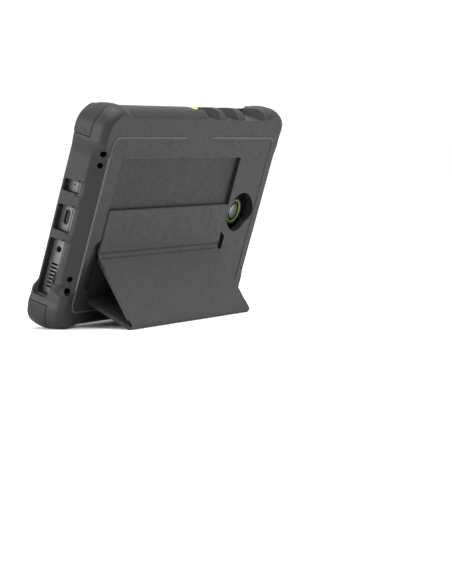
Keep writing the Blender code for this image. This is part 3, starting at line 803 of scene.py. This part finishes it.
def rib_pockets():
    """Hollows in the ledge under the tablet that leave a row of ribs."""
    pockets, pitch, half = [], 16, 6.5
    depths = ((-5.6, 0.0), (-13.8, 0.0))
    for sign in (-1, 1):
        for i in range(-5, 6):
            corners = ((-half, 58.5), (half, 58.5), (half, 64.7), (-half, 64.7))
            pockets.append(through_y([(i * pitch + u, sign * v) for u, v in corners], depths))
        for i in range(-3, 4):
            corners = ((-half, 101.5), (half, 101.5), (half, 107.4), (-half, 107.4))
            pockets.append(through_y([(sign * v, i * pitch + u) for u, v in corners], depths))
    return joined(pockets)


def build_case():
    shell = to_object("case_body", case_skin())
    window = rectangle(104.6, 62.0, 6.0)
    lip = ((-23.5, 0.0), (-24.6, 0.0), (-25.0, 0.08), (-25.3, 0.3), (-25.5, 0.7), (-25.8, 1.6), (-28.5, 4.0))
    cutters = [
        through_y(rectangle(109.1, 66.35, 9.3), ((-13.2, 0.0), (-24.0, 0.0))),
        through_y(window, lip),
        through_y(rectangle(103.0, 60.0, 6.0), ((-4.6, 0.0), (-13.9, 0.0))),
        rib_pockets(),
        recess_cutter(),
        through_y(rectangle(75.3, 12.8, 2.0, (PANEL_MIDDLE, KEEPER_Z)), ((-3.2, 0.0), (-1.5, 0.0))),
        camera_cutter(),
        through_y(circle(10.85, LENS_PLACE, 48), ((-13.3, 0.0), (-9.4, 0.0))),
        *window_cutters(),
        *slot_cutters(),
        joined(strap_hole_cutters()),
    ]
    for height in (1, -1):
        for sign_x in (1, -1):
            cutters.append(bumper_seat(height, sign_x))
    carve(shell, cutters)
    show(shell, "case", "case", replaces=["case_shell"])
    for height, row in ((1, "upper"), (-1, "lower")):
        for sign_x, end in ((1, "port_end"), (-1, "camera_end")):
            piece = to_object(f"bumper_{row}_{end}", bumper(height, sign_x))
            round_edges(piece, 0.3, 2, 50)
            show(piece, "bumper", "case", replaces=[f"corner_bumper_{row}_{end}"])


def sweep(path, radius_out, radius_up, steps=8):
    """A low half-round bead along an (x, z) path, standing on y 0."""
    rings = []
    size = len(path)
    for i, (x, z) in enumerate(path):
        a, b = Vector(path[max(i - 1, 0)]), Vector(path[min(i + 1, size - 1)])
        along = (b - a).normalized()
        side = Vector((along.y, -along.x))
        ends = min(i, size - 1 - i)
        shrink = (0.15, 0.7, 1.0)[min(ends, 2)]
        ring = []
        for k in range(steps + 1):
            angle = math.pi * k / steps
            u, v = math.cos(angle) * radius_out * shrink, math.sin(angle) * radius_up * shrink
            ring.append((x + side.x * u, v - 0.02, z + side.y * u))
        ring += [(x - side.x * radius_out * shrink, -0.4, z - side.y * radius_out * shrink)]
        ring += [(x + side.x * radius_out * shrink, -0.4, z + side.y * radius_out * shrink)]
        rings.append(ring)
    return loft(rings)


def build_ridge():
    """The thin raised line round the case's back, left open at the middle of the top; its lighter colour is a
    painted highlight.
    """
    loop = turned_one_way(rectangle(106.3, 57.95, 6.0, (0.0, -3.3), 10))
    start = min(range(len(loop)), key=lambda i: abs(loop[i][0] - 100.3) + abs(loop[i][1] - 54.65))
    ordered = loop[start:] + loop[:start]
    # Counter-clockwise from the top right corner's upper end: along the top to the gap, and on round.
    dense = []
    for a, b in zip(ordered, ordered[1:] + ordered[:1]):
        steps = max(1, int((Vector(b) - Vector(a)).length / 3.0))
        dense += [tuple(Vector(a).lerp(Vector(b), k / steps)) for k in range(steps)]
    in_gap = [i for i, (x, z) in enumerate(dense) if z > 54.6 and -13.2 < x < 12.4]
    after = dense[in_gap[-1] + 1:] + dense[: in_gap[0]]
    piece = to_object("back_ridge", sweep(after, 0.55, 0.5))
    show(piece, "ridge", "case")


def build_pads():
    """The soft chevrons behind the tablet's corners, each with a raised middle."""
    chevron = (
        (-17.0, -3.0, 2.0), (-11.0, -11.5, 2.0), (9.0, -10.0, 3.0), (17.0, -2.0, 2.5),
        (14.0, 9.0, 2.0), (2.0, 6.0, 6.0), (-12.0, 11.0, 2.0),
    )
    levels = (
        (-4.95, -0.6), (-5.1, -0.25), (-5.5, 0.0), (-11.6, 0.0), (-12.0, -0.12), (-12.25, -0.45),
        (-12.3, -0.9), (-12.3, -2.4), (-12.5, -2.55), (-12.95, -2.75), (-13.1, -3.1), (-13.1, -3.6),
    )
    for height, row in ((1, "upper"), (-1, "lower")):
        for sign_x, end in ((1, "port_end"), (-1, "camera_end")):
            outline = [(sign_x * (73.0 + x), height * (33.0 - z)) for x, z in round_corners(chevron, 6)]
            piece = to_object(f"pad_{row}_{end}", through_y(outline, levels))
            show(piece, "pad", "case", replaces=[f"impact_pad_{row}_{end}"])


# ------------ the stand

PANEL_X = (-64.5, 90.9)
PANEL_MIDDLE = 13.2
COVER_THICKNESS = 0.45
KEEPER_Z = -38.8  # the steel plate's height in the recess
MAGNETS_X, MAGNETS_Z = (-37.0, 63.0), 20.0  # in the flap's frame


def slab(name, y_range, z_range, edge=0.7, corner=1.2, x_range=PANEL_X):
    """A wrapped board with soft edges."""
    half_x, half_z = (x_range[1] - x_range[0]) / 2, (z_range[1] - z_range[0]) / 2
    centre = ((x_range[0] + x_range[1]) / 2, (z_range[0] + z_range[1]) / 2)
    outline = rectangle(half_x, half_z, corner, centre)
    low, high = y_range
    quarter = [math.radians(90 * k / 4) for k in range(5)]
    levels = [(low + edge * (1 - math.sin(a)), -edge * (1 - math.cos(a))) for a in quarter[::-1]]
    levels += [(high - edge * (1 - math.sin(a)), -edge * (1 - math.cos(a))) for a in quarter]
    return to_object(name, through_y(outline, levels))


def ribbon(profile, inset):
    """A strip of leatherette that follows a (y, z) profile across the stand."""
    size = len(profile)
    upper, lower = [], []
    for i, (y, z) in enumerate(profile):
        a, b = Vector(profile[max(i - 1, 0)]), Vector(profile[min(i + 1, size - 1)])
        along = (b - a).normalized()
        side = Vector((-along.y, along.x)) * COVER_THICKNESS
        upper.append((y, z))
        lower.append((y + side.x, z + side.y))
    ring = upper + lower[::-1]
    left, right = PANEL_X
    stations = [left + inset, left + inset + 0.3]
    stations += [left + (right - left) * k / 12 for k in range(1, 12)]
    stations += [right - inset - 0.3, right - inset]
    return loft([[(x, y, z) for y, z in ring] for x in stations])


def build_stand():
    base = slab("stand_base_board", (-2.9, -2.35), (-51.3, -26.3), 0.2, 2.0, (-61.8, 88.2))
    show(base, "lining", "case", replaces=["stand_base"])

    profile = [(0.15, 2.6), (2.55, 2.6)]
    for k in range(13):
        a = math.radians(87 * k / 12)
        profile.append((NOSE * math.cos(a), STRUT_LENGTH + NOSE * math.sin(a)))
    profile.append((0.15, STRUT_LENGTH + 1.2))
    strut = to_object("strut_panel", loft([[(x, y, z) for y, z in profile] for x in PANEL_X]))
    round_edges(strut, 0.55, 3, 60)
    show(strut, "lining", "strut", STRUT, ["stand_strut"])

    leg = slab("leg_panel", (0.15, 2.55), (NOSE + 0.35, LEG_RUN - 1.85))
    show(leg, "leatherette", "leg", LEG, ["stand_leg"])

    flap = slab("flap_panel", (-2.55, -0.15), (1.85, 30.1))
    cutters = []
    for x in MAGNETS_X:
        for radius in (5.9, 7.0):
            inner, outer = radius - 0.28, radius + 0.28
            groove = [(inner, 1.0), (outer, 1.0), (outer, -0.19), (radius, -0.23), (inner, -0.19)]
            cutters.append(moved(turned(groove), (x, 0.0, MAGNETS_Z)))
    for x in MAGNETS_X:
        pocket = turned([(0.0, -4.0), (6.3, -4.0), (6.3, -1.3), (0.0, -1.3)])
        cutters.append(moved(pocket, (x, 0.0, MAGNETS_Z)))
    carve(flap, cutters)
    show(flap, "flap", "flap", FLAP, ["stand_flap"])


def carried(points, hinge, turn):
    """(y, z) points of a panel's frame, in the frame that it hangs from by its hinge."""
    c, n = math.cos(turn), math.sin(turn)
    return [(hinge[0] + y * c - z * n, hinge[1] + y * n + z * c) for y, z in points]


def web(name, profile, matrix, material, inset=0.45):
    """A strip of the stand's cover that bends where two bodies meet."""
    strip = to_object(name, ribbon(profile, inset))
    show(strip, material, None, matrix)
    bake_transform(strip)


def build_webs():
    on_leg = ((1.5, 3.0), (1.5, 1.75), (1.75, 1.3), (2.2, 0.9), (2.4, 0.4))
    on_flap = ((-0.3, 0.4), (-0.5, 0.9), (-0.95, 1.3), (-1.2, 1.75), (-1.2, 3.0))
    spine = [(y, LEG_RUN - below) for y, below in on_leg] + carried(on_flap, (SPINE_RISE, LEG_RUN), FLAP_TURN)
    web("spine_web", spine, LEG, "leatherette")

    wrap = 2.62  # the cover's radius round the strut's far edge
    foot = [(2.2, STRUT_LENGTH - 5.0), (wrap, STRUT_LENGTH - 4.0), (wrap, STRUT_LENGTH - 2.0)]
    for k in range(17):
        a = LEG_TURN * k / 16
        foot.append((wrap * math.cos(a), STRUT_LENGTH + wrap * math.sin(a)))
    foot += carried(((wrap, 1.5), (wrap, 3.5), (2.6, 5.0), (2.3, 6.2)), (0, STRUT_LENGTH), LEG_TURN)
    web("foot_web", foot, STRUT, "leatherette", 0.05)

    fold = [(-2.65, -48.5), (-2.62, -50.5), (-2.6, -51.8)]
    fold += carried(((0.0, 0.7), (0.12, 1.6), (0.45, 2.7), (0.7, 3.4)), STRUT_HINGE, STRUT_TURN)
    web("fold_web", fold, CASE, "lining")


def build_linings():
    """The soft black cloth on the stand's inner faces, made darker still as painted shade, and a darker sheet
    of the case rubber over the recess floor as painted shade.
    """
    for name, y_range, z_range, body, matrix in (
        ("strut_lining", (0.08, 0.6), (3.4, STRUT_LENGTH - 0.5), "strut", STRUT),
        ("leg_lining", (0.08, 0.6), (3.6, LEG_RUN - 2.6), "leg", LEG),
        ("flap_lining", (-2.62, -2.1), (2.6, 29.4), "flap", FLAP),
    ):
        piece = slab(name, y_range, z_range, 0.1, 1.0, (PANEL_X[0] + 0.8, PANEL_X[1] - 0.8))
        show(piece, "lining", body, matrix)
    # A darker sheet over the recess floor: painted shade.
    facing = to_object("recess_painted_shade_sheet", through_y(
        rectangle(78.0, 46.4, 0.8, (PANEL_MIDDLE, -6.5)), ((-2.4, 0.0), (-2.16, 0.0), (-2.14, -0.05)),
    ))
    keeper = rectangle(75.2, 12.7, 1.9, (PANEL_MIDDLE, KEEPER_Z))
    carve(facing, [through_y(keeper, ((-3.0, 0.0), (-1.0, 0.0)))])
    show(facing, "facing", "case")


# ------------ the tablet

PORT_Y = -17.0
FRONT_KEY_X = 99.0
FRONT_KEYS = (  # (name, z, half width, half height)
    ("home_key", 0.0, 3.4, 7.0), ("recents_key", 26.0, 2.6, 4.6), ("back_key", -26.0, 2.6, 4.6),
)


def build_tablet():
    outline = rectangle(108.75, 66.0, 9.0, steps=10)
    levels = ((-13.3, 0.0), (-12.5, 0.0), (-12.2, -0.12), (-12.0, -0.5))
    cover = to_object("back_cover", through_y(outline, levels))
    carve(cover, [
        through_y(circle(10.5, LENS_PLACE, 48), ((-15.0, 0.0), (-11.0, 0.0))),
        through_y(circle(2.3, (-79.5, -3.2), 32), ((-15.0, 0.0), (-11.0, 0.0))),
    ])
    show(cover, "tablet", "case", TABLET, replaces=["tablet_back_cover"])

    levels = ((-13.6, -0.3), (-13.9, 0.0), (-21.5, 0.0), (-21.8, -0.12), (-21.9, -0.35))
    body = to_object("tablet_body", through_y(outline, levels))
    inside = rectangle(105.75, 63.0, 6.0)
    cutters = [
        through_y(inside, ((-18.9, 0.0), (-12.0, 0.0))),
        through_y(inside, ((-19.4, 0.0), (-23.0, 0.0))),
        through_y(rectangle(107.8, 65.05, 8.0, steps=10), ((-20.9, 0.0), (-23.0, 0.0))),
    ]

    def port(shape, rim=0.35):
        surface = 108.75
        levels = [(103.0, 0.0), (surface - rim, 0.0)]
        levels += [(surface - rim * 0.4, rim * 0.15), (surface + 0.02, rim * 0.7)]
        return through_x(shape, [*levels, (surface + 2, rim + 1.5)])

    cutters.append(port(rectangle(1.9, 4.85, 1.85, (PORT_Y, -3.0))))
    cutters.append(port(circle(1.85, (PORT_Y, -24.5), 32), 0.5))
    cutters.append(port(circle(0.5, (PORT_Y, 18.5), 20), 0.2))
    slots = [port(rectangle(2.6, 0.62, 0.55, (PORT_Y, -42.0 + (i - 3) * 2.5), 5), 0.15) for i in range(7)]
    cutters.append(joined(slots))
    for x, half, _ in SIDE_KEYS.values():
        hole = rectangle(half, 1.85, 1.7)
        cutters.append(loft([[(x + u, PORT_Y + v, z) for u, v in hole] for z in (60.0, 70.0)]))
    carve(body, cutters)
    show(body, "tablet", "case", TABLET, replaces=["tablet_frame"])

    edge = rectangle(107.4, 64.65, 7.6, steps=10)
    levels = ((-21.2, 0.0), (-21.9, 0.0), (-22.1, -0.12), (-22.2, -0.4))
    glass = to_object("screen_glass", through_y(edge, levels))
    holes = []
    for _, z, half_x, half_z in FRONT_KEYS:
        shape = rectangle(half_x + 0.35, half_z + 0.35, half_x + 0.3, (FRONT_KEY_X, z))
        holes.append(through_y(shape, ((-20.0, 0.0), (-22.0, 0.0), (-22.2, 0.2), (-24.0, 1.0))))
    carve(glass, holes)
    show(glass, "glass", "case", TABLET, replaces=["front_glass"])

    lit = through_y(rectangle(86.2, 53.9, 1.2, (-1.5, 0.0)), ((-22.1, 0.0), (-22.24, 0.0), (-22.26, -0.04)))
    show(to_object("screen_area", lit), "display", "case", TABLET)


def cap(half_u, half_v, low, high, radius):
    """A key's cap with a rounded top, made flat in u and v and standing along its third axis."""
    outline = turned_one_way(rectangle(half_u, half_v, radius))
    edge = min(0.5, radius * 0.6)
    levels = [(low, 0.0), (high - edge, 0.0)]
    for a in (math.radians(30), math.radians(60), math.radians(90)):
        levels.append((high - edge * (1 - math.sin(a)), -edge * (1 - math.cos(a))))
    return outline, levels


def build_keys():
    for name, half, top, material in (
        ("function_key", 5.5, 5.8, "accent"), ("power_key", 5.5, 3.4, "keys"),
        ("volume_rocker", 11.0, 3.4, "keys"),
    ):
        x = SIDE_KEYS[name][0]
        outline, levels = cap(half, 1.55, -1.4, top, 1.45)
        rings = [[(x + u, PORT_Y + v, 64.5 + w) for u, v in grown(outline, g)] for w, g in levels]
        piece = to_object(name + "_top", loft(rings))
        if name == "volume_rocker":
            waist = turned([(0.0, 4.0), (3.2, 4.0), (0.9, 1.9), (0.0, 1.75)])
            for vert in waist.verts:
                vert.co = Vector((x + vert.co.x, PORT_Y + vert.co.z, 64.9 + vert.co.y))
            if waist.calc_volume(signed=True) < 0:
                bmesh.ops.reverse_faces(waist, faces=waist.faces)
            carve(piece, [waist])
        show(piece, material, name + "_cap", TABLET, [name])
    for name, z, half_x, half_z in FRONT_KEYS:
        outline, levels = cap(half_x, half_z, 0.0, 1.6, half_x - 0.05)
        rings = [[(FRONT_KEY_X + u, -20.9 - w, z + v) for u, v in grown(outline, g)] for w, g in levels]
        piece = to_object(name + "_top", loft(rings))
        show(piece, "keys", name + "_cap", TABLET, replaces=[name])


def build_camera():
    """The rear camera, from its rim inwards: bezel, coloured throat, black surround and domed lens."""
    rings = {
        "lens_ring": ("rim", [
            (8.1, -13.1), (10.2, -13.1), (10.2, -9.0), (10.05, -8.65), (9.75, -8.5), (9.45, -8.5),
            (9.3, -8.8), (8.1, -8.8),
        ]),
        "lens_bezel": ("ring", [
            (8.1, -8.76), (9.26, -8.76), (9.2, -8.5), (9.0, -8.42), (8.4, -8.46), (8.1, -8.6),
        ]),
        "lens_throat": ("throat", [
            (7.45, -12.0), (8.05, -12.0), (8.05, -8.7), (7.95, -8.6), (7.6, -8.85), (7.45, -9.3),
        ]),
        "lens_surround": ("black", [
            (5.3, -9.9), (7.4, -9.9), (7.4, -9.35), (7.2, -9.2), (5.5, -9.2), (5.3, -9.35),
        ]),
        # The window's light grey colour is a painted reflection.
        "lens_window": ("lens", [
            (0.0, -9.9), (5.25, -9.9), (5.25, -9.2), (5.0, -8.95), (4.2, -8.7), (2.6, -8.5),
            (1.2, -8.42), (0.0, -8.4),
        ]),
    }
    stands_for = {"lens_ring": ["camera_ring"], "lens_window": ["camera_window"]}
    for name, (material, profile) in rings.items():
        piece = to_object(name, moved(turned(profile, 64), (LENS_PLACE[0], 0.0, LENS_PLACE[1])))
        show(piece, material, "case", TABLET, stands_for.get(name, ()))


def finish_nodes():
    """Looks for the CAD nodes that are shown as they are."""
    looks = {
        "steel": ("keeper_plate", "microphone", "vibration_motor", "flap_magnet_1", "flap_magnet_2",
                  "board_screw_1", "board_screw_2", "board_screw_3", "board_screw_4"),
        "liner": ("case_liner",),
        "plate": ("centre_plate",),
        "label": ("label_plate",),
        "black": ("cover_gasket", "audio_jack", "usb_socket", "usb_tongue", "loudspeaker", "rear_camera",
                  "front_camera"),
        "display": ("display_panel",),
        "flash": ("flash_lens",),
        "board": ("main_board", "connector_board"),
        "battery": ("battery",),
    }
    for material, names in looks.items():
        for name in names:
            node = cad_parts[name]
            node.data.materials.clear()
            node.data.materials.append(MATERIALS[material])


# ------------ the stage


def build_stage():
    floor = bmesh.new()
    bmesh.ops.create_circle(floor, cap_ends=True, radius=30.0, segments=96)
    obj = to_object("floor", floor)
    n = Nodes("floor_look")
    n.finish(Base_Color=n.tint((1.0, 1.0, 1.0), n.spread(n.noise(3.0), 0, 1), 0.87, 0.88), Roughness=0.9)
    obj.data.materials.append(n.material)

    world = bpy.data.worlds.new("studio")
    world.use_nodes = True
    world.node_tree.nodes["Background"].inputs["Color"].default_value = (1, 1, 1, 1)
    world.node_tree.nodes["Background"].inputs["Strength"].default_value = 1.15
    bpy.context.scene.world = world

    for name, place, aim, size, power in (
        ("top_light", (-0.1, 0.25, 1.5), (0, 0, 0.08), 1.2, 26.0),
        ("port_side_light", (1.3, -0.75, 0.5), (0.1, 0, 0.08), 1.0, 26.0),
        ("back_light", (-0.9, 1.3, 0.8), (0, 0, 0.08), 1.2, 2.0),
    ):
        lamp = bpy.data.lights.new(name, "AREA")
        lamp.size = size
        lamp.energy = power
        light = bpy.data.objects.new(name, lamp)
        bpy.context.scene.collection.objects.link(light)
        light.location = place
        light.rotation_euler = (Vector(aim) - Vector(place)).to_track_quat("-Z", "Y").to_euler()


FOCAL, FRAME_SIDE, SENSOR = 2021.365, 584.0, 36.0  # the first two in the same unit, the sensor in millimetres
CAMERA_PLACE = (1.17559, 0.701379, 0.121396)
CAMERA_TURN, CAMERA_DROP = math.radians(60.966), math.radians(4.36)


def build_camera_view():
    lens = bpy.data.cameras.new("camera")
    lens.lens = FOCAL * SENSOR / FRAME_SIDE
    lens.sensor_width = SENSOR
    lens.clip_start, lens.clip_end = 0.05, 100.0
    camera = bpy.data.objects.new("camera", lens)
    bpy.context.scene.collection.objects.link(camera)
    camera.location = CAMERA_PLACE
    level = math.cos(CAMERA_DROP)
    sight = Vector((-math.sin(CAMERA_TURN) * level, -math.cos(CAMERA_TURN) * level, -math.sin(CAMERA_DROP)))
    camera.rotation_euler = sight.to_track_quat("-Z", "Y").to_euler()
    bpy.context.scene.camera = camera
    bpy.context.scene.view_settings.view_transform = "Standard"


build_camera_view()
build_stage()
build_case()
build_ridge()
build_pads()
build_stand()
build_webs()
build_linings()
build_tablet()
build_keys()
build_camera()
finish_nodes()
